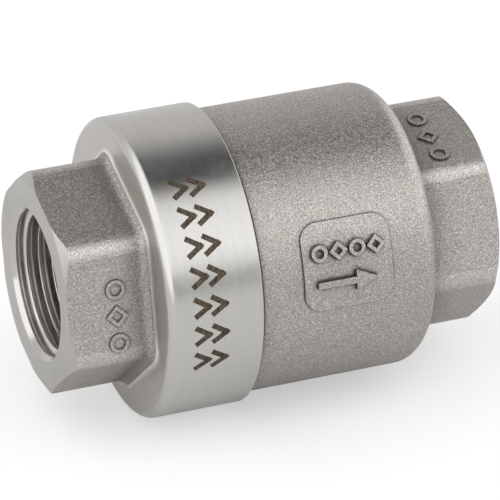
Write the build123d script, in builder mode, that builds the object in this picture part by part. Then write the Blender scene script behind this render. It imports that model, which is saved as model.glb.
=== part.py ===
from build123d import *
from math import radians, sin, tan
import os

# In-line spring check valve with G 1/2 female threaded ends, in millimetres.
# +X is the direction of flow and +Z is up.
# The origin is on the flow axis, halfway along the valve.
# Stations count along the flow axis from the inlet face, which lies at X = -LENGTH / 2.
# Clock angles turn about the flow axis from +Y towards +Z.

# Overall stations
LENGTH = 62.2
COLLAR_FRONT = 11.8
JOINT = 25.15
SHOULDER = 51.4

# Outer shape
COLLAR_R = 20.75
COLLAR_EDGE_R = 1.3
BARREL_R = 19.65
BARREL_FRONT_CHAMFER = 0.5
BARREL_REAR_R = 3.0
HEX_ACROSS_FLATS = 28.0
HEX_CORNER_R = 2.8
HEX_CHAMFER_ANGLE = 30.0
INLET_HEX_CLOCK = 138.24
INLET_FACE_R = 14.3
INLET_ROOT_R = 1.7
OUTLET_HEX_CLOCK = 130.83
OUTLET_FACE_R = 14.04
OUTLET_ROOT_R = 0.5

# Port thread, G 1/2 of ISO 228-1, which allows a minor radius from 9.3155 to 9.586
PORT_PITCH = 1.814
INLET_MINOR_R = 9.3155
OUTLET_MINOR_R = 9.49
PORT_MAJOR_R = 10.4775
PORT_ROOT_FLAT = 0.302
PORT_FLANK_ANGLE = 27.5
PORT_MOUTH_R = 10.64
FIRST_GROOVE = 1.1
INLET_GROOVES = 8
INLET_TAP_DEPTH = 16.0
OUTLET_GROOVES = 7
OUTLET_TAP_DEPTH = 13.6

# Joint thread between cap and body, M33 x 1.5
JOINT_PITCH = 1.5
JOINT_FLANK_ANGLE = 30.0
SPIGOT_CREST_R = 16.4
SPIGOT_ROOT_R = 15.55
SOCKET_CREST_R = 15.7
SOCKET_ROOT_R = 16.6
JOINT_FIRST_GROOVE = 26.5
SPIGOT_GROOVES = 4
SOCKET_GROOVES = 3
SOCKET_ENTRY = 25.9
THREAD_END = 30.9
NOSE_R = 15.4
NOSE_BORE_R = 15.6

# Seat and flow path
PORT_R = 7.5
SEAT = 31.0
SEAT_INNER_R = 8.0
SEAT_OUTER_R = 9.4
SEAT_FLOOR = 30.2
NOSE_INNER_R = 13.0
NOSE_END = 32.0
CHAMBER_START = 33.0
CHAMBER_R = 13.6
CHAMBER_END = 46.5
THROAT_R = 11.4

# Poppet group
TRAVEL = 4.0
SEAL_BACK = 32.6
SEAL_INNER_R = 5.7
SEAL_OUTER_R = 10.0
PILOT_R = 5.6
DISC_R = 10.5
DISC_RIM_FRONT = 31.6
DISC_BACK = 34.2
STOP_R = 3.6
STEM_R = 2.5
STEM_END = 46.3
WASHER_R = 6.9
WASHER_FRONT = 30.2
SCREW_R = 1.45
SCREW_HOLE_R = 1.5
SCREW_HEAD_FRONT = 28.2
SCREW_HEAD_FLATS = 5.5
SCREW_END = 36.0

# Guide spider, bush and snap ring
SPIDER_FRONT = 44.0
HUB_FRONT = 43.5
HUB_R = 5.2
HUB_BORE_R = 3.5
BUSH_BORE_R = 2.55
RING_INNER_R = 11.2
RING_OUTER_R = 13.5
RIB_THICKNESS = 2.0
RIB_COUNT = 3
GROOVE_START = 43.0
GROOVE_R = 14.3
SNAP_THICKNESS = 0.9
SNAP_INNER_R = 12.1
SNAP_OUTER_R = 14.2
SNAP_GAP_ANGLE = 50.0

# Return spring
SPRING_WIRE = 0.9
SPRING_R = 4.6
SPRING_TURNS = 5.0

# Cast marks
PANEL_STATION = 37.75
PANEL_CLOCK = 164.0
PANEL_LENGTH = 12.7
PANEL_WIDTH = 12.2
PANEL_CORNER_R = 2.5
PANEL_RISE = 0.25
MARK_RISE = 0.55
ARROW_TAIL = -4.6
ARROW_NECK = 0.9
ARROW_TIP = 4.0
ARROW_OFFSET = -2.36
ARROW_SHAFT_WIDTH = 0.9
ARROW_HEAD_WIDTH = 2.9
SYMBOL_OFFSET = 2.05
SYMBOL_PITCH = 2.7
SYMBOL_R = 1.15
SYMBOL_LINE = 0.5
FLAT_MARK_R = 1.35
FLAT_MARK_RISE = 0.22
INLET_MARK_STATION = 6.75
INLET_MARK_OFFSET = -1.9
INLET_MARK_PITCH = 3.75
OUTLET_MARK_STATION = 55.9
OUTLET_MARK_OFFSET = -0.8
OUTLET_MARK_PITCH = 4.0


def along(station):
    """X of a station."""
    return station - LENGTH / 2


def turned(corners):
    """Solid of revolution about the flow axis, from corners given as (station, radius)."""
    with BuildPart() as shape:
        with BuildSketch(Plane.XY):
            with BuildLine():
                Polyline(*[(along(x), r) for x, r in corners], close=True)
            make_face()
        revolve(axis=Axis.X)
    return shape.part


def ring(start, end, inner, outer):
    """Plain ring about the flow axis."""
    return turned([(start, inner), (start, outer), (end, outer), (end, inner)])


def thread_grooves(first, count, pitch, mouth, root, root_flat, flank_angle):
    """Ring grooves of a thread, open at radius mouth and ending at radius root."""
    spread = abs(root - mouth) * tan(radians(flank_angle)) + root_flat / 2
    grooves = []
    for turn in range(count):
        centre = first + turn * pitch
        grooves.append(
            turned(
                [
                    (centre - spread, mouth),
                    (centre - root_flat / 2, root),
                    (centre + root_flat / 2, root),
                    (centre + spread, mouth),
                ]
            )
        )
    return grooves


def hexagon(start, end, clock, face_station, face_r):
    """Hexagon with rounded corners, chamfered by turning at its free end."""
    reach = HEX_ACROSS_FLATS
    run = abs(end - start)
    rise = face_r + run / tan(radians(HEX_CHAMFER_ANGLE))
    other = start if face_station == end else end
    blank = turned([(face_station, 0), (face_station, face_r), (other, rise), (other, 0)])
    with BuildPart() as shape:
        with BuildSketch(Plane.YZ.offset(along(start))) as outline:
            RegularPolygon(reach / 2, 6, major_radius=False, rotation=clock)
            fillet(outline.vertices(), HEX_CORNER_R)
        extrude(amount=run)
        add(blank, mode=Mode.INTERSECT)
    return shape.part


def mark_plane(station, clock, radius):
    """Plane facing out at a clock angle: local x follows the flow, local y climbs."""
    angle = radians(clock)
    out = Vector(0, sin(radians(clock + 90)), sin(angle))
    return Plane(origin=Vector(along(station), 0, 0) + out * radius, x_dir=(1, 0, 0), z_dir=out)


def symbol_row(offset, count, pitch, radius, line, across):
    """Row of open rings and diamonds, laid along local x, or along local y if across."""
    with BuildSketch() as row:
        for n in range(count):
            place = (n - (count - 1) / 2) * pitch
            spot = (0, offset + place) if across else (place, offset)
            with Locations(spot):
                if n % 2 == 0:
                    Circle(radius)
                    Circle(radius - line, mode=Mode.SUBTRACT)
                else:
                    RegularPolygon(radius * 1.15, 4)
                    RegularPolygon(radius * 1.15 - line * 1.4, 4, mode=Mode.SUBTRACT)
    return row.sketch


def flow_arrow():
    """Arrow along local x, pointing with the flow."""
    middle = ARROW_OFFSET
    shaft = ARROW_SHAFT_WIDTH / 2
    head = ARROW_HEAD_WIDTH / 2
    with BuildSketch() as arrow:
        with BuildLine():
            Polyline(
                (ARROW_TAIL, middle - shaft),
                (ARROW_NECK, middle - shaft),
                (ARROW_NECK, middle - head),
                (ARROW_TIP, middle),
                (ARROW_NECK, middle + head),
                (ARROW_NECK, middle + shaft),
                (ARROW_TAIL, middle + shaft),
                close=True,
            )
        make_face()
    return arrow.sketch


def wrapped(outline, station, clock, inner, outer):
    """Outline pushed out of the flow axis and kept between two radii."""
    shell = ring(0, LENGTH, inner, outer)
    with BuildPart() as patch:
        extrude(mark_plane(station, clock, 0) * outline, amount=outer + 2)
        add(shell, mode=Mode.INTERSECT)
    return patch.part


def flat_marks(station, clock, offset, pitch):
    """Three raised symbols across one flat of a hexagon."""
    outline = symbol_row(offset, 3, pitch, FLAT_MARK_R, SYMBOL_LINE, True)
    with BuildPart() as marks:
        plane = mark_plane(station, clock, HEX_ACROSS_FLATS / 2 - 0.2)
        extrude(plane * outline, amount=0.2 + FLAT_MARK_RISE)
    return marks.part


def root_edges(part, station):
    """Edges where a hexagon meets the shoulder at a station."""
    x = along(station)
    edges = part.edges().filter_by_position(Axis.X, x - 0.01, x + 0.01)
    return edges.filter_by(lambda edge: edge.length < HEX_ACROSS_FLATS)


# Inlet cap: hexagon, collar, threaded spigot and seat
inlet_hex = hexagon(0, COLLAR_FRONT + 1, INLET_HEX_CLOCK, 0, INLET_FACE_R)
inlet_marks = flat_marks(INLET_MARK_STATION, INLET_HEX_CLOCK + 30, INLET_MARK_OFFSET, INLET_MARK_PITCH)
collar = turned(
    [
        (COLLAR_FRONT, 0),
        (COLLAR_FRONT, COLLAR_R),
        (JOINT - 0.15, COLLAR_R),
        (JOINT, COLLAR_R - 0.15),
        (JOINT, SPIGOT_CREST_R),
        (THREAD_END, SPIGOT_CREST_R),
        (THREAD_END, NOSE_R),
        (NOSE_END - 0.3, NOSE_R),
        (NOSE_END, NOSE_R - 0.3),
        (NOSE_END, NOSE_INNER_R),
        (SEAT_FLOOR, NOSE_INNER_R),
        (SEAT_FLOOR, SEAT_OUTER_R + SEAT - SEAT_FLOOR),
        (SEAT, SEAT_OUTER_R),
        (SEAT, 0),
    ]
)
inlet_bore = turned(
    [
        (0, 0),
        (0, PORT_MOUTH_R),
        (PORT_MOUTH_R - INLET_MINOR_R, INLET_MINOR_R),
        (INLET_TAP_DEPTH, INLET_MINOR_R),
        (INLET_TAP_DEPTH + INLET_MINOR_R - PORT_R, PORT_R),
        (SEAT - SEAT_INNER_R + PORT_R, PORT_R),
        (SEAT, SEAT_INNER_R),
        (SEAT, 0),
    ]
)
inlet_thread = thread_grooves(
    FIRST_GROOVE,
    INLET_GROOVES,
    PORT_PITCH,
    INLET_MINOR_R,
    PORT_MAJOR_R,
    PORT_ROOT_FLAT,
    PORT_FLANK_ANGLE,
)
spigot_thread = thread_grooves(
    JOINT_FIRST_GROOVE,
    SPIGOT_GROOVES,
    JOINT_PITCH,
    SPIGOT_CREST_R,
    SPIGOT_ROOT_R,
    0.3,
    JOINT_FLANK_ANGLE,
)
with BuildPart() as inlet_cap:
    add(collar)
    fillet(inlet_cap.edges().filter_by_position(Axis.X, along(11.7), along(11.9)), COLLAR_EDGE_R)
    add(inlet_hex)
    fillet(root_edges(inlet_cap, COLLAR_FRONT), INLET_ROOT_R)
    add(inlet_marks)
    add(inlet_bore, mode=Mode.SUBTRACT)
    for groove in inlet_thread:
        add(groove, mode=Mode.SUBTRACT)
    for groove in spigot_thread:
        add(groove, mode=Mode.SUBTRACT)

# Valve body: barrel, outlet hexagon, chamber and cast marks
outlet_hex = hexagon(SHOULDER - 1, LENGTH, OUTLET_HEX_CLOCK, LENGTH, OUTLET_FACE_R)
outlet_marks = flat_marks(
    OUTLET_MARK_STATION, OUTLET_HEX_CLOCK - 30, OUTLET_MARK_OFFSET, OUTLET_MARK_PITCH
)
barrel = turned(
    [
        (JOINT, 0),
        (JOINT, BARREL_R - BARREL_FRONT_CHAMFER),
        (JOINT + BARREL_FRONT_CHAMFER, BARREL_R),
        (SHOULDER, BARREL_R),
        (SHOULDER, 0),
    ]
)
chamber = turned(
    [
        (JOINT, 0),
        (JOINT, SOCKET_ROOT_R + 0.1),
        (SOCKET_ENTRY, SOCKET_ROOT_R + 0.1),
        (SOCKET_ENTRY + 0.58, SOCKET_CREST_R),
        (THREAD_END, SOCKET_CREST_R),
        (THREAD_END, NOSE_BORE_R),
        (CHAMBER_START, NOSE_BORE_R),
        (CHAMBER_START, CHAMBER_R),
        (GROOVE_START, CHAMBER_R),
        (GROOVE_START, GROOVE_R),
        (SPIDER_FRONT, GROOVE_R),
        (SPIDER_FRONT, CHAMBER_R),
        (CHAMBER_END, CHAMBER_R),
        (CHAMBER_END, THROAT_R),
        (LENGTH - OUTLET_TAP_DEPTH, OUTLET_MINOR_R),
        (LENGTH - PORT_MOUTH_R + OUTLET_MINOR_R, OUTLET_MINOR_R),
        (LENGTH, PORT_MOUTH_R),
        (LENGTH, 0),
    ]
)
outlet_thread = thread_grooves(
    LENGTH - FIRST_GROOVE,
    OUTLET_GROOVES,
    -PORT_PITCH,
    OUTLET_MINOR_R,
    PORT_MAJOR_R,
    PORT_ROOT_FLAT,
    PORT_FLANK_ANGLE,
)
socket_thread = thread_grooves(
    JOINT_FIRST_GROOVE + JOINT_PITCH / 2,
    SOCKET_GROOVES,
    JOINT_PITCH,
    SOCKET_CREST_R,
    SOCKET_ROOT_R,
    0.3,
    JOINT_FLANK_ANGLE,
)
with BuildSketch() as panel_outline:
    RectangleRounded(PANEL_LENGTH, PANEL_WIDTH, PANEL_CORNER_R)
panel_r = BARREL_R + PANEL_RISE
panel = wrapped(panel_outline.sketch, PANEL_STATION, PANEL_CLOCK, BARREL_R - 0.2, panel_r)
arrow = wrapped(flow_arrow(), PANEL_STATION, PANEL_CLOCK, BARREL_R, panel_r + MARK_RISE)
symbols = wrapped(
    symbol_row(SYMBOL_OFFSET, 4, SYMBOL_PITCH, SYMBOL_R, SYMBOL_LINE, False),
    PANEL_STATION,
    PANEL_CLOCK,
    BARREL_R,
    panel_r + MARK_RISE,
)
with BuildPart() as valve_body:
    add(barrel)
    fillet(valve_body.edges().filter_by_position(Axis.X, along(51.3), along(51.5)), BARREL_REAR_R)
    add(outlet_hex)
    fillet(root_edges(valve_body, SHOULDER), OUTLET_ROOT_R)
    add(outlet_marks)
    add(panel)
    add(arrow)
    add(symbols)
    add(chamber, mode=Mode.SUBTRACT)
    for groove in outlet_thread:
        add(groove, mode=Mode.SUBTRACT)
    for groove in socket_thread:
        add(groove, mode=Mode.SUBTRACT)

# Body gasket between the spigot's nose and the body's shoulder
with BuildPart() as body_gasket:
    add(ring(NOSE_END, CHAMBER_START, CHAMBER_R + 0.1, NOSE_BORE_R - 0.1))

# Poppet: disc, pilot boss, stop and stem turned from one bar, with a tapped hole
poppet_blank = turned(
    [
        (SEAT, 0),
        (SEAT, PILOT_R),
        (SEAL_BACK, PILOT_R),
        (SEAL_BACK, SEAL_OUTER_R + 0.1),
        (DISC_RIM_FRONT, SEAL_OUTER_R + 0.1),
        (DISC_RIM_FRONT, DISC_R),
        (DISC_BACK - 0.6, DISC_R),
        (DISC_BACK, DISC_R - 0.6),
        (DISC_BACK, STOP_R),
        (HUB_FRONT - TRAVEL, STOP_R),
        (HUB_FRONT - TRAVEL, STEM_R),
        (STEM_END - 0.4, STEM_R),
        (STEM_END, STEM_R - 0.4),
        (STEM_END, 0),
    ]
)
screw_hole = turned([(SEAT, 0), (SEAT, SCREW_HOLE_R), (37, SCREW_HOLE_R), (37.8, 0)])
with BuildPart() as poppet:
    add(poppet_blank)
    add(screw_hole, mode=Mode.SUBTRACT)

# Seal ring, washer and screw on the face of the disc
with BuildPart() as seal_ring:
    add(ring(SEAT, SEAL_BACK, SEAL_INNER_R, SEAL_OUTER_R))

with BuildPart() as retainer_washer:
    add(ring(WASHER_FRONT, SEAT, SCREW_HOLE_R, WASHER_R))
    rim = retainer_washer.edges().group_by(Axis.X)[0].sort_by(SortBy.LENGTH)[-1]
    chamfer(rim, 0.25)

screw_shank = ring(WASHER_FRONT, SCREW_END, 0, SCREW_R)
with BuildPart() as retainer_screw:
    with BuildSketch(Plane.YZ.offset(along(SCREW_HEAD_FRONT))):
        RegularPolygon(SCREW_HEAD_FLATS / 2, 6, major_radius=False)
    extrude(amount=WASHER_FRONT - SCREW_HEAD_FRONT)
    add(screw_shank)

# Return spring between the disc and the spider's hub
spring_length = HUB_FRONT - DISC_BACK - SPRING_WIRE
spring_start = along(DISC_BACK + SPRING_WIRE / 2)
with BuildPart() as return_spring:
    with BuildLine() as coil:
        Helix(
            spring_length / SPRING_TURNS,
            spring_length,
            SPRING_R,
            center=(spring_start, 0, 0),
            direction=(1, 0, 0),
        )
    with BuildSketch(Plane(origin=coil.line @ 0, z_dir=coil.line % 0)):
        Circle(SPRING_WIRE / 2)
    sweep(is_frenet=True)

# Guide spider: hub, ring and ribs
hub = ring(HUB_FRONT, CHAMBER_END, HUB_BORE_R, HUB_R)
outer_ring = ring(SPIDER_FRONT, CHAMBER_END, RING_INNER_R, RING_OUTER_R)
with BuildPart() as guide_spider:
    add(hub)
    add(outer_ring)
    with BuildSketch(Plane.YZ.offset(along(SPIDER_FRONT))):
        with PolarLocations((HUB_R + RING_INNER_R) / 2, RIB_COUNT, start_angle=90):
            Rectangle(RING_INNER_R - HUB_R + 1, RIB_THICKNESS)
    extrude(amount=CHAMBER_END - SPIDER_FRONT)

# Guide bush in the hub
with BuildPart() as guide_bush:
    add(ring(HUB_FRONT, CHAMBER_END, BUSH_BORE_R, HUB_BORE_R))

# Snap ring: an open ring with an eye at each end
with BuildPart() as snap_ring:
    with BuildSketch(Plane.YZ.offset(along(GROOVE_START + 0.05))):
        Circle(SNAP_OUTER_R)
        Circle(SNAP_INNER_R, mode=Mode.SUBTRACT)
        with BuildLine():
            gap_y = 20 * sin(radians(SNAP_GAP_ANGLE / 2))
            Polyline((0, 0), (-gap_y, -20), (gap_y, -20), close=True)
        make_face(mode=Mode.SUBTRACT)
        with PolarLocations(SNAP_INNER_R, 2, start_angle=235, angular_range=70, endpoint=True):
            Circle(1.3)
            Circle(0.6, mode=Mode.SUBTRACT)
    extrude(amount=SNAP_THICKNESS)

os.makedirs("parts", exist_ok=True)

inlet_cap.part.label = "inlet_cap"
export_step(inlet_cap.part, "parts/inlet_cap.step")

valve_body.part.label = "valve_body"
export_step(valve_body.part, "parts/valve_body.step")

body_gasket.part.label = "body_gasket"
export_step(body_gasket.part, "parts/body_gasket.step")

poppet.part.label = "poppet"
export_step(poppet.part, "parts/poppet.step")

seal_ring.part.label = "seal_ring"
export_step(seal_ring.part, "parts/seal_ring.step")

retainer_washer.part.label = "retainer_washer"
export_step(retainer_washer.part, "parts/retainer_washer.step")

retainer_screw.part.label = "retainer_screw"
export_step(retainer_screw.part, "parts/retainer_screw.step")

return_spring.part.label = "return_spring"
export_step(return_spring.part, "parts/return_spring.step")

guide_spider.part.label = "guide_spider"
export_step(guide_spider.part, "parts/guide_spider.step")

guide_bush.part.label = "guide_bush"
export_step(guide_bush.part, "parts/guide_bush.step")

snap_ring.part.label = "snap_ring"
export_step(snap_ring.part, "parts/snap_ring.step")
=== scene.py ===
import math

import bpy
import numpy as np
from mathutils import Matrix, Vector


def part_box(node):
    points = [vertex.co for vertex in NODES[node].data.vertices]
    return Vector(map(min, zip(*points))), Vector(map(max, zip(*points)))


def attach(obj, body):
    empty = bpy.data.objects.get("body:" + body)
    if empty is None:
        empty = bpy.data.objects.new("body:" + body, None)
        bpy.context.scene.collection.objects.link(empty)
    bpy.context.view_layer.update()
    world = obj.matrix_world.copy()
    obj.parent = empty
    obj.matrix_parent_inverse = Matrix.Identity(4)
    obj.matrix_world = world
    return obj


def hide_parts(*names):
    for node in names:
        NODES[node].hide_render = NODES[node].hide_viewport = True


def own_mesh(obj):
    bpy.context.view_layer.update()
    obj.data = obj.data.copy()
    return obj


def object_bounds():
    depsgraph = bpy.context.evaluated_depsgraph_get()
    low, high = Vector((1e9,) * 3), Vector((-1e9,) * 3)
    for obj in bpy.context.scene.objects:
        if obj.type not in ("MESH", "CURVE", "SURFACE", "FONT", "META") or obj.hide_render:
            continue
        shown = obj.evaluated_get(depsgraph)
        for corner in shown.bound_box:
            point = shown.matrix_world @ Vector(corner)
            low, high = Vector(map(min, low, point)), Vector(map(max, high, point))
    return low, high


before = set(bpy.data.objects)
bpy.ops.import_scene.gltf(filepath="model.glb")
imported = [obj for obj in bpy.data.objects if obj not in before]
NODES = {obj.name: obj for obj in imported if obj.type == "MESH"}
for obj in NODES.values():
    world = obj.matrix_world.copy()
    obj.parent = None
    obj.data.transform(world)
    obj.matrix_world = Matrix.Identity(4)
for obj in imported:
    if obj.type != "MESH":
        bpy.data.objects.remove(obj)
cad_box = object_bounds()
MM = 0.001

# Stations along the flow axis from the inlet face, radii and travel in millimetres, and clock
# angles in degrees from +Y towards +Z. They follow the CAD model, or part two finishes on it.
INLET_HEX_CLOCK = 138.24
OUTLET_HEX_CLOCK = 130.83
HEX_INNER_R = 13.0
HEX_EDGE_FROM_R = 14.4
HEX_EDGE_TO_R = 17.0
HEX_ROOT_R = 19.0
INLET_HEX_END = 10.0
INLET_ROOT_END = 14.0
OUTLET_HEX_START = 51.6
COLLAR_FRONT = 11.8
COLLAR_R = 20.75
COLLAR_EDGE_DEPTH = 1.45
JOINT = 25.15
BORE_R = 10.7
CHAMBER_R = 17.0
INLET_TAP_END = 16.0
OUTLET_TAP_START = 48.5
DISC_BACK = 34.2
SPRING_R = 4.6
SPRING_WIRE_R = 0.45

INLET_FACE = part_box("inlet_cap")[0].x
LENGTH = (cad_box[1].x - cad_box[0].x) / MM


def x_at(station):
    """A station's place on the X axis, in metres."""
    return INLET_FACE + station * MM


# ---------------------------------------------------------------- node graphs


class Graph:
    """A material's node tree, with short calls for the nodes used here."""

    def __init__(self, name):
        self.material = bpy.data.materials.new(name)
        self.material.use_nodes = True
        self.tree = self.material.node_tree
        self.tree.nodes.clear()
        self.place = self.node("ShaderNodeTexCoord").outputs["Object"]

    def node(self, kind, **settings):
        made = self.tree.nodes.new(kind)
        for key, value in settings.items():
            setattr(made, key, value)
        return made

    def wire(self, source, socket):
        if isinstance(source, bpy.types.NodeSocket):
            self.tree.links.new(source, socket)
        else:
            socket.default_value = source

    def math(self, operation, a, b):
        made = self.node("ShaderNodeMath", operation=operation)
        self.wire(a, made.inputs[0])
        self.wire(b, made.inputs[1])
        return made.outputs[0]

    def stretched(self, x, y, z):
        """The place on the object, scaled by a factor along each axis."""
        made = self.node("ShaderNodeVectorMath", operation="MULTIPLY")
        self.wire(self.place, made.inputs[0])
        made.inputs[1].default_value = (x, y, z)
        return made.outputs[0]

    def average(self, a, b, share=0.5):
        """The mean of two values, where share is the weight of the first."""
        first = self.math("MULTIPLY", a, share)
        return self.math("ADD", first, self.math("MULTIPLY", b, 1 - share))

    def noise(self, scale, detail, roughness, place=None):
        made = self.node("ShaderNodeTexNoise")
        self.wire(place or self.place, made.inputs["Vector"])
        made.inputs["Scale"].default_value = scale
        made.inputs["Detail"].default_value = detail
        made.inputs["Roughness"].default_value = roughness
        return made.outputs[0]

    def spread(self, value, low, high, to_low=0.0, to_high=1.0):
        """Maps low..high smoothly onto to_low..to_high."""
        made = self.node("ShaderNodeMapRange", interpolation_type="SMOOTHSTEP")
        self.wire(value, made.inputs["Value"])
        made.inputs["From Min"].default_value = low
        made.inputs["From Max"].default_value = high
        made.inputs["To Min"].default_value = to_low
        made.inputs["To Max"].default_value = to_high
        return made.outputs["Result"]

    def color(self, value, socket):
        """Wires a colour that is either a socket or three numbers."""
        self.wire(value if isinstance(value, bpy.types.NodeSocket) else (*value, 1), socket)

    def blend(self, factor, a, b):
        made = self.node("ShaderNodeMix", data_type="RGBA")
        self.wire(factor, made.inputs["Factor"])
        self.color(a, made.inputs["A"])
        self.color(b, made.inputs["B"])
        return made.outputs["Result"]

    def radius(self):
        """Distance from the flow axis, in millimetres."""
        made = self.node("ShaderNodeVectorMath", operation="LENGTH")
        self.wire(self.stretched(0, 1 / MM, 1 / MM), made.inputs[0])
        return made.outputs["Value"]

    def rounded(self, radius_mm):
        """The surface's normal with its sharp edges softened."""
        made = self.node("ShaderNodeBevel", samples=6)
        made.inputs["Radius"].default_value = radius_mm * MM
        return made.outputs["Normal"]

    def painted_shade(self, reach_mm, low, high, least):
        """Painted shade: a factor that falls from 1 in the open to least in corners and crevices,
        for darkening colour there.
        """
        made = self.node("ShaderNodeAmbientOcclusion", samples=8)
        made.inputs["Distance"].default_value = reach_mm * MM
        return self.spread(made.outputs["AO"], low, high, least, 1.0)

    def shaded(self, color, amount):
        """Color times a number between 0 and 1."""
        made = self.node("ShaderNodeVectorMath", operation="SCALE")
        self.wire(color, made.inputs[0])
        self.wire(amount, made.inputs["Scale"])
        return made.outputs[0]

    def bump(self, height, distance_mm, strength=1.0, normal=None):
        made = self.node("ShaderNodeBump")
        made.inputs["Strength"].default_value = strength
        made.inputs["Distance"].default_value = distance_mm * MM
        self.wire(height, made.inputs["Height"])
        if normal is not None:
            self.wire(normal, made.inputs["Normal"])
        return made.outputs["Normal"]

    def surface(self, color, roughness, normal=None, **constants):
        shader = self.node("ShaderNodeBsdfPrincipled")
        self.color(color, shader.inputs["Base Color"])
        self.wire(roughness, shader.inputs["Roughness"])
        if normal is not None:
            self.wire(normal, shader.inputs["Normal"])
        for key, value in constants.items():
            shader.inputs[key.replace("_", " ")].default_value = value
        out = self.node("ShaderNodeOutputMaterial")
        self.tree.links.new(shader.outputs[0], out.inputs["Surface"])
        self.shader = shader
        return self.material


# ------------------------------------------------------------------ materials


def times(tint, factor):
    """A tint made brighter or darker, with no channel past 1."""
    return tuple(min(c * factor, 1) for c in tint)


def cast_steel(name, tint):
    """Blast-finished investment casting: sparkling grain, with painted shade that darkens it in
    corners and crevices.
    """
    g = Graph(name)
    grain = g.noise(4900, 2.5, 0.65)
    lump = g.noise(2000, 2.0, 0.5)
    cloud = g.noise(130, 3.0, 0.5)
    even = g.blend(g.spread(cloud, 0.3, 0.7), tint, times(tint, 0.95))
    pitted = g.blend(g.spread(grain, 0.34, 0.49, 0.7, 0.0), even, times(tint, 0.48))
    color = g.blend(g.spread(grain, 0.51, 0.66, 0.0, 0.76), pitted, times(tint, 1.75))
    # painted shade: ambient occlusion darkens the colour in wide corners and round small raised
    # marks
    corner = g.painted_shade(6.0, 0.6, 0.97, 0.45)
    crevice = g.painted_shade(0.6, 0.48, 0.92, 0.45)
    color = g.shaded(g.shaded(color, corner), crevice)
    rough = g.spread(lump, 0.35, 0.65, 0.32, 0.46)
    normal = g.bump(lump, 0.03, 1.0, g.rounded(0.12))
    normal = g.bump(grain, 0.06, 1.0, normal)
    return g.surface(color, rough, normal, Metallic=1.0)


def turned_steel(name, tint, rough_low, rough_high, ring_scale=9.0, ring_depth=0.004):
    """Machined face with fine rings about the flow axis."""
    g = Graph(name)
    rings = g.node("ShaderNodeTexNoise", noise_dimensions="1D")
    g.wire(g.radius(), rings.inputs["W"])
    rings.inputs["Scale"].default_value = ring_scale
    rings.inputs["Detail"].default_value = 3.0
    ring = rings.outputs[0]
    smear = g.noise(60, 3.0, 0.6)
    color = g.blend(g.spread(smear, 0.3, 0.7), tint, times(tint, 0.9))
    rough = g.spread(g.average(ring, smear), 0.3, 0.7, rough_low, rough_high)
    normal = g.bump(ring, ring_depth, 0.7, g.rounded(0.1))
    return g.surface(color, rough, normal, Metallic=1.0)


def brushed_collar(name, tint):
    """Turned and brushed collar: fine lines round the circumference, with light scuffs."""
    g = Graph(name)
    lines = g.noise(1.0, 5.0, 0.7, g.stretched(7000, 260, 260))
    wide = g.noise(1.0, 3.0, 0.6, g.stretched(1500, 120, 120))
    scuff = g.noise(420, 5.0, 0.7)
    haze = g.noise(110, 3.0, 0.5)
    streak = g.average(lines, wide, 0.6)
    color = g.blend(g.spread(streak, 0.3, 0.7), tint, times(tint, 0.93))
    rough = g.spread(g.average(scuff, haze), 0.3, 0.7, 0.16, 0.26)
    normal = g.bump(streak, 0.004, 0.5, g.rounded(0.15))
    material = g.surface(color, rough, normal, Metallic=1.0, Anisotropic=0.55)
    tangent = g.node("ShaderNodeTangent", direction_type="RADIAL", axis="X")
    g.wire(tangent.outputs[0], g.shader.inputs["Tangent"])
    return material


def thread_steel(name, tint, root_shade_tint):
    """Tapped thread: crests and flanks in the brighter tint, and roots darkened by painted shade.
    """
    g = Graph(name)
    rings = g.noise(1.0, 3.0, 0.6, g.stretched(5000, 160, 160))
    stain = g.noise(260, 4.0, 0.6)
    # painted shade: a darker, warmer colour towards the thread roots
    color = g.blend(g.spread(g.radius(), 9.4, 10.4), tint, root_shade_tint)
    color = g.blend(g.spread(stain, 0.4, 0.75, 0.0, 0.2), color, times(tint, 0.8))
    rough = g.spread(stain, 0.3, 0.7, 0.12, 0.2)
    normal = g.bump(rings, 0.006, 0.6, g.rounded(0.25))
    return g.surface(color, rough, normal, Metallic=1.0)


def plain_polymer(name, tint, rough_low, rough_high, grain_scale, subsurface=0.0):
    """Matt plastic or rubber with a faint grain and slow changes of shade."""
    g = Graph(name)
    fine = g.noise(grain_scale, 3.0, 0.6)
    wide = g.noise(grain_scale / 12, 3.0, 0.5)
    color = g.blend(g.spread(wide, 0.3, 0.7), tint, times(tint, 0.9))
    rough = g.spread(fine, 0.3, 0.7, rough_low, rough_high)
    normal = g.bump(fine, 0.01, 0.5)
    return g.surface(color, rough, normal, Subsurface_Weight=subsurface)


def etched_mark(name, dark, light):
    """Laser-etched mark: brown oxide with the beam's fine cross-hatching."""
    g = Graph(name)
    hatch = g.noise(1.0, 2.0, 0.6, g.stretched(7000, 900, 900))
    spots = g.noise(3300, 2.0, 0.7)
    color = g.blend(g.spread(g.average(hatch, spots, 0.45), 0.38, 0.64), dark, light)
    rough = g.spread(spots, 0.3, 0.7, 0.42, 0.6)
    normal = g.bump(spots, 0.01, 0.6)
    return g.surface(color, rough, normal, Metallic=0.5)


CAST = cast_steel("cast_stainless", (0.545, 0.51, 0.48))
# painted highlight: a brighter copy of the cast steel for the rounded hex corners
CORNER_HIGHLIGHT = cast_steel("painted_highlight_corner", (0.68, 0.64, 0.605))
FACE = turned_steel("machined_end_face", (0.66, 0.64, 0.61), 0.26, 0.4)
FRONT = turned_steel("turned_collar_face", (0.72, 0.695, 0.665), 0.34, 0.46)
# painted highlight: a near-white turned finish for a narrow band of the hex root fillet
ROOT_HIGHLIGHT = turned_steel("painted_highlight_root", (0.95, 0.94, 0.92), 0.3, 0.38)
COLLAR = brushed_collar("brushed_collar", (0.745, 0.73, 0.705))
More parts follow.
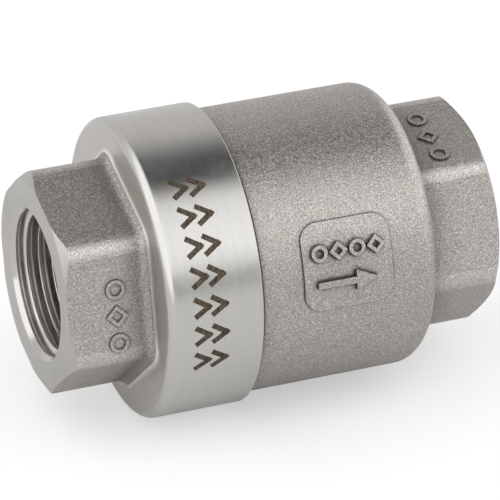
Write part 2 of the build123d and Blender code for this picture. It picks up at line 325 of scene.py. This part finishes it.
# the second tint is the painted shade of the thread roots
THREAD = thread_steel("tapped_thread", (0.8, 0.78, 0.765), (0.736, 0.6942, 0.6732))
BORE = turned_steel("machined_bore", (0.58, 0.56, 0.53), 0.3, 0.45, 6.0, 0.006)
BAR = turned_steel("turned_bar", (0.66, 0.645, 0.62), 0.2, 0.34)
SHEET = turned_steel("stamped_sheet", (0.68, 0.665, 0.64), 0.16, 0.3, 3.0, 0.002)
WIRE = turned_steel("drawn_wire", (0.6, 0.585, 0.56), 0.18, 0.32, 14.0, 0.003)
PTFE = plain_polymer("ptfe", (0.86, 0.86, 0.83), 0.4, 0.55, 2600, 0.2)
RUBBER = plain_polymer("fluoroelastomer", (0.035, 0.034, 0.033), 0.45, 0.62, 3800)
ETCH = etched_mark("laser_etch", (0.036, 0.026, 0.018), (0.17, 0.125, 0.085))


def facets(node):
    """Each polygon's station and radius in millimetres, with its normal."""
    mesh = NODES[node].data
    centre = np.zeros(len(mesh.polygons) * 3)
    normal = np.zeros(len(mesh.polygons) * 3)
    mesh.polygons.foreach_get("center", centre)
    mesh.polygons.foreach_get("normal", normal)
    centre, normal = centre.reshape(-1, 3), normal.reshape(-1, 3)
    station = (centre[:, 0] - INLET_FACE) / MM
    radius = np.hypot(centre[:, 1], centre[:, 2]) / MM
    return station, radius, normal


def on_hex_corner(radius, normal, corner_clock):
    """True where a polygon belongs to the rounded edge between two flats of a hexagon."""
    clock = np.degrees(np.arctan2(normal[:, 2], normal[:, 1]))
    away = np.abs((clock - corner_clock + 30) % 60 - 30)
    in_band = (radius > HEX_EDGE_FROM_R) & (radius < HEX_EDGE_TO_R)
    return in_band & (np.abs(normal[:, 0]) < 0.05) & (away < 29)


def finish_zones(node, base, zones=()):
    """Gives a CAD node its base material, and then each zone's material where its mask is true."""
    mesh = NODES[node].data
    index = np.zeros(len(mesh.polygons), np.int32)
    mesh.materials.clear()
    mesh.materials.append(base)
    for number, (material, inside) in enumerate(zones, 1):
        mesh.materials.append(material)
        index[inside] = number
    mesh.polygons.foreach_set("material_index", index)
    mesh.update()


SKIN = 0.01  # keeps a zone off the face that it starts from
FACE_DEPTH = 1.4  # reaches over the chamfers of the end faces

station, radius, normal = facets("inlet_cap")
lean = normal[:, 0]
in_bore = radius < BORE_R
past_tap = in_bore & (station >= INLET_TAP_END)
spigot = station > JOINT - SKIN
front = (station > INLET_HEX_END) & (station < INLET_ROOT_END) & (radius > HEX_INNER_R)
# a narrow band of the hex root fillet, which gets the painted highlight
hex_root = front & (radius < HEX_ROOT_R) & (lean < -0.86) & (lean > -0.97)
# the rounded hex corners, which get the painted highlight
hex_corner = (station < INLET_HEX_END) & on_hex_corner(radius, normal, INLET_HEX_CLOCK)
finish_zones(
    "inlet_cap",
    CAST,
    (
        (COLLAR, (radius > COLLAR_R - COLLAR_EDGE_DEPTH) & (station > COLLAR_FRONT + SKIN)),
        (FACE, (station < FACE_DEPTH) & (lean < -0.3)),
        (THREAD, in_bore & (station > SKIN) & (station < INLET_TAP_END)),
        (BORE, past_tap | spigot),
        (FRONT, front & (lean < -0.97)),
        # painted highlight on the hex root fillet
        (ROOT_HIGHLIGHT, hex_root),
        # painted highlight on the rounded hex corners
        (CORNER_HIGHLIGHT, hex_corner),
    ),
)

station, radius, normal = facets("valve_body")
in_tap = (radius < BORE_R) & (station > OUTLET_TAP_START) & (station < LENGTH - SKIN)
# the rounded hex corners, which get the painted highlight
hex_corner = (station > OUTLET_HEX_START) & on_hex_corner(radius, normal, OUTLET_HEX_CLOCK)
finish_zones(
    "valve_body",
    CAST,
    (
        (FACE, (station > LENGTH - FACE_DEPTH) & (normal[:, 0] > 0.3)),
        (THREAD, in_tap),
        (BORE, (station < OUTLET_TAP_START) & (radius < CHAMBER_R)),
        # painted highlight on the rounded hex corners
        (CORNER_HIGHLIGHT, hex_corner),
    ),
)

for node, material in (
    ("body_gasket", PTFE),
    ("guide_bush", PTFE),
    ("poppet", BAR),
    ("guide_spider", BAR),
    ("seal_ring", RUBBER),
    ("retainer_washer", SHEET),
    ("retainer_screw", SHEET),
    ("snap_ring", SHEET),
):
    finish_zones(node, material)


# --------------------------------------------------------------- added pieces


def new_object(name, vertices, faces, material):
    mesh = bpy.data.meshes.new(name)
    mesh.from_pydata(vertices, [], faces)
    mesh.materials.append(material)
    mesh.polygons.foreach_set("use_smooth", [True] * len(mesh.polygons))
    mesh.update()
    made = bpy.data.objects.new(name, mesh)
    bpy.context.scene.collection.objects.link(made)
    return made


ETCH_LIFT = 0.015
ETCH_FROM = 124.5
ETCH_TO = 192.5
ETCH_COUNT = 7
ETCH_WIDTH = 0.74
ETCH_TAIL = (17.8, 1.3)  # station, and arc from the mark's middle
ETCH_TIP = (20.1, 0.2)
ETCH_SHIFTS = (0, -2.4)


def on_collar(station, clock):
    """A point just above the collar."""
    angle = math.radians(clock)
    r = (COLLAR_R + ETCH_LIFT) * MM
    return (x_at(station), r * math.cos(angle), r * math.sin(angle))


def stroke(start, end, width, steps=8):
    """Pairs of corners along a flat stroke between two (station, arc) points."""
    a, b = np.array(start, float), np.array(end, float)
    side = np.array([-(b - a)[1], (b - a)[0]])
    side *= width / 2 / np.linalg.norm(side)
    middles = [a + (b - a) * k / steps for k in range(steps + 1)]
    return [(middle + side, middle - side) for middle in middles]


def chevrons():
    """Two columns of arrowheads round the collar, each of two strokes that meet at the tip."""
    vertices, faces = [], []
    arc_per_degree = math.radians(1) * COLLAR_R
    for n in range(ETCH_COUNT):
        clock = ETCH_FROM + (ETCH_TO - ETCH_FROM) * n / (ETCH_COUNT - 1)
        for arm in (-1, 1):
            for shift in ETCH_SHIFTS:
                tail = (ETCH_TAIL[0] + shift, arm * ETCH_TAIL[1])
                tip = (ETCH_TIP[0] + shift, -arm * ETCH_TIP[1])
                base = len(vertices)
                for pair in stroke(tail, tip, ETCH_WIDTH):
                    for along, arc in pair:
                        vertices.append(on_collar(along, clock + arc / arc_per_degree))
                for a in range(base, len(vertices) - 2, 2):
                    faces.append((a, a + 1, a + 3, a + 2))
    return vertices, faces


etched = new_object("etched_chevrons", *chevrons(), ETCH)
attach(etched, "housing")


def coil(start, end, mean_r, wire_r, turns, end_turns):
    """Closed-end compression spring about the flow axis, as a tube mesh."""
    steps, sides, blur = 36, 12, 6
    count = int((turns + 2 * end_turns) * steps)
    closed = 2 * wire_r * 1.02
    pitch = (end - start - 2 * wire_r - 2 * end_turns * closed) / turns
    rise = [0.0]
    for k in range(count):
        middle = (k + 0.5) / steps
        active = end_turns < middle < end_turns + turns
        rise.append(rise[-1] + (pitch if active else closed) / steps)
    padded = np.concatenate([np.full(blur, rise[0]), rise, np.full(blur, rise[-1])])
    rise = np.convolve(padded, np.ones(2 * blur + 1) / (2 * blur + 1), "valid")
    centres = []
    for k in range(count + 1):
        angle = 2 * math.pi * k / steps
        x = start + wire_r + rise[k]
        centres.append(Vector((x, mean_r * math.cos(angle), mean_r * math.sin(angle))))
    vertices, faces = [], []
    for k, c in enumerate(centres):
        along = (centres[min(k + 1, count)] - centres[max(k - 1, 0)]).normalized()
        side = along.cross(Vector((0, c.y, c.z)).normalized()).normalized()
        out = side.cross(along)
        for j in range(sides):
            turn = 2 * math.pi * j / sides
            vertices.append(c + (out * math.cos(turn) + side * math.sin(turn)) * wire_r)
    for k in range(count):
        for j in range(sides):
            a, b = k * sides + j, k * sides + (j + 1) % sides
            faces.append((a, b, b + sides, a + sides))
    faces.append(tuple(range(sides)))
    faces.append(tuple(count * sides + j for j in reversed(range(sides))))
    return vertices, faces


disc_back = x_at(DISC_BACK)
hub_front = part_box("guide_spider")[0].x
shape = coil(disc_back, hub_front, SPRING_R * MM, SPRING_WIRE_R * MM, 4.0, 1.0)
spring = new_object("spring_coil", *shape, WIRE)
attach(spring, "housing")
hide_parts("return_spring")
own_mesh(spring)


# ------------------------------------------------------- floor, light, camera

# The floor glows a little, and more to the camera, so that it is nearly white around the valve
FLOOR_GREY = 0.6
FLOOR_GLOW = 0.08
FLOOR_GLOW_SEEN = 0.38

bpy.ops.mesh.primitive_plane_add(size=6, location=(0, 0, cad_box[0].z - 0.0001))
floor = bpy.context.object
floor.name = "floor"
g = Graph("pale_floor")
shade = g.node("ShaderNodeBsdfDiffuse")
g.color([FLOOR_GREY] * 3, shade.inputs["Color"])
glow = g.node("ShaderNodeEmission")
g.color([1] * 3, glow.inputs["Color"])
camera_ray = g.node("ShaderNodeLightPath").outputs["Is Camera Ray"]
seen = g.math("MULTIPLY", camera_ray, FLOOR_GLOW_SEEN)
g.wire(g.math("ADD", seen, FLOOR_GLOW), glow.inputs["Strength"])
total = g.node("ShaderNodeAddShader")
g.wire(shade.outputs[0], total.inputs[0])
g.wire(glow.outputs[0], total.inputs[1])
g.wire(total.outputs[0], g.node("ShaderNodeOutputMaterial").inputs["Surface"])
floor.data.materials.append(g.material)

# A wide lamp overhead whitens the floor and leaves the soft shadow under the valve
overhead = bpy.data.lights.new("overhead", "AREA")
overhead.shape = "SQUARE"
overhead.size = 1.6
overhead.energy = 2.6
lamp = bpy.data.objects.new("overhead", overhead)
lamp.location = (0, 0, 0.8)
lamp.visible_glossy = False
bpy.context.scene.collection.objects.link(lamp)

# A studio of long soft lights: bright in front, dark overhead, paler behind. Each band is its
# angle above the horizon in front, in degrees, its level, and how far it leans to blue.
BANDS = (
    (0, 0.62, 0.0),
    (8, 0.26, 0.0),
    (16, 0.74, 0.0),
    (24, 1.1, 0.0),
    (34, 1.18, 0.0),
    (46, 1.14, 0.0),
    (60, 1.04, 0.0),
    (74, 0.98, 0.0),
    (82, 0.1, 0.02),
    (92, 0.05, 0.05),
    (108, 0.07, 0.05),
    (120, 0.3, 0.0),
    (134, 0.6, -0.02),
    (160, 0.58, -0.02),
    (180, 0.66, 0.0),
)
PEAK = 1.4  # a ramp holds no colour past 1, so levels are kept in parts of this
SIDE_LEVEL = 1.25
BACKDROP = 0.93


class Sky(Graph):
    """The world's node tree, with the same short calls."""

    def __init__(self, name):
        self.world = bpy.data.worlds.new(name)
        self.world.use_nodes = True
        self.tree = self.world.node_tree
        self.tree.nodes.clear()
        self.place = self.node("ShaderNodeTexCoord").outputs["Generated"]


sky = Sky("studio")
bpy.context.scene.world = sky.world
split = sky.node("ShaderNodeSeparateXYZ")
sky.wire(sky.place, split.inputs[0])
to_outlet, to_back, to_top = (split.outputs[k] for k in range(3))
to_front = sky.math("MULTIPLY", to_back, -1.0)
to_inlet = sky.math("MULTIPLY", to_outlet, -1.0)
ramp = sky.node("ShaderNodeValToRGB")
turn = sky.math("DIVIDE", sky.math("ARCTAN2", to_top, to_front), math.pi)
sky.wire(turn, ramp.inputs["Fac"])
ramp.color_ramp.interpolation = "B_SPLINE"
stops = ramp.color_ramp.elements
while len(stops) < len(BANDS):
    stops.new(0.5)
for stop, (degrees, level, blue) in zip(stops, BANDS):
    stop.position = degrees / 180
    stop.color = (level * (1 - blue) / PEAK, level / PEAK, level * (1 + blue) / PEAK, 1)

# Both sides are bright, and the inlet's side wraps further round in front but not behind
outlet_side = sky.spread(to_outlet, 0.5, 0.85)
inlet_side = sky.spread(to_inlet, 0.05, 0.5)
not_behind = sky.math("SUBTRACT", 1.0, sky.spread(to_back, 0.45, 0.65))
inlet_side = sky.math("MULTIPLY", inlet_side, not_behind)
side = sky.math("MAXIMUM", outlet_side, inlet_side)
lit = sky.node("ShaderNodeBackground")
lit.inputs["Strength"].default_value = PEAK
sky.wire(sky.blend(side, ramp.outputs["Color"], [SIDE_LEVEL / PEAK] * 3), lit.inputs["Color"])
plain = sky.node("ShaderNodeBackground")
sky.color([BACKDROP] * 3, plain.inputs["Color"])
choose = sky.node("ShaderNodeMixShader")
sky.wire(sky.node("ShaderNodeLightPath").outputs["Is Camera Ray"], choose.inputs[0])
sky.wire(lit.outputs[0], choose.inputs[1])
sky.wire(plain.outputs[0], choose.inputs[2])
sky.wire(choose.outputs[0], sky.node("ShaderNodeOutputWorld").inputs["Surface"])

bpy.context.scene.view_settings.view_transform = "Standard"
bpy.context.scene.view_settings.look = "None"

AZIMUTH = math.radians(-21.485)
ELEVATION = math.radians(28.319)
FOCUS_STATION = 34.0
DISTANCE = 0.610
AIM_RIGHT = -0.004424799  # slopes that place the valve a little off the middle
AIM_UP = -0.002062806

outward = Vector((math.sin(AZIMUTH), -math.cos(AZIMUTH), 0)) * math.cos(ELEVATION)
back = outward + Vector((0, 0, math.sin(ELEVATION)))
right = Vector((math.cos(AZIMUTH), math.sin(AZIMUTH), 0))
up = back.cross(right)
lens = bpy.data.cameras.new("camera")
lens.sensor_width = 36
lens.lens = 320.07
lens.clip_start = 0.05
lens.clip_end = 20
camera = bpy.data.objects.new("camera", lens)
bpy.context.scene.collection.objects.link(camera)
camera.location = Vector((x_at(FOCUS_STATION), 0, 0)) + back * DISTANCE
camera.rotation_mode = "QUATERNION"
aim = -back + right * AIM_RIGHT + up * AIM_UP
camera.rotation_quaternion = aim.to_track_quat("-Z", "Y")
bpy.context.scene.camera = camera
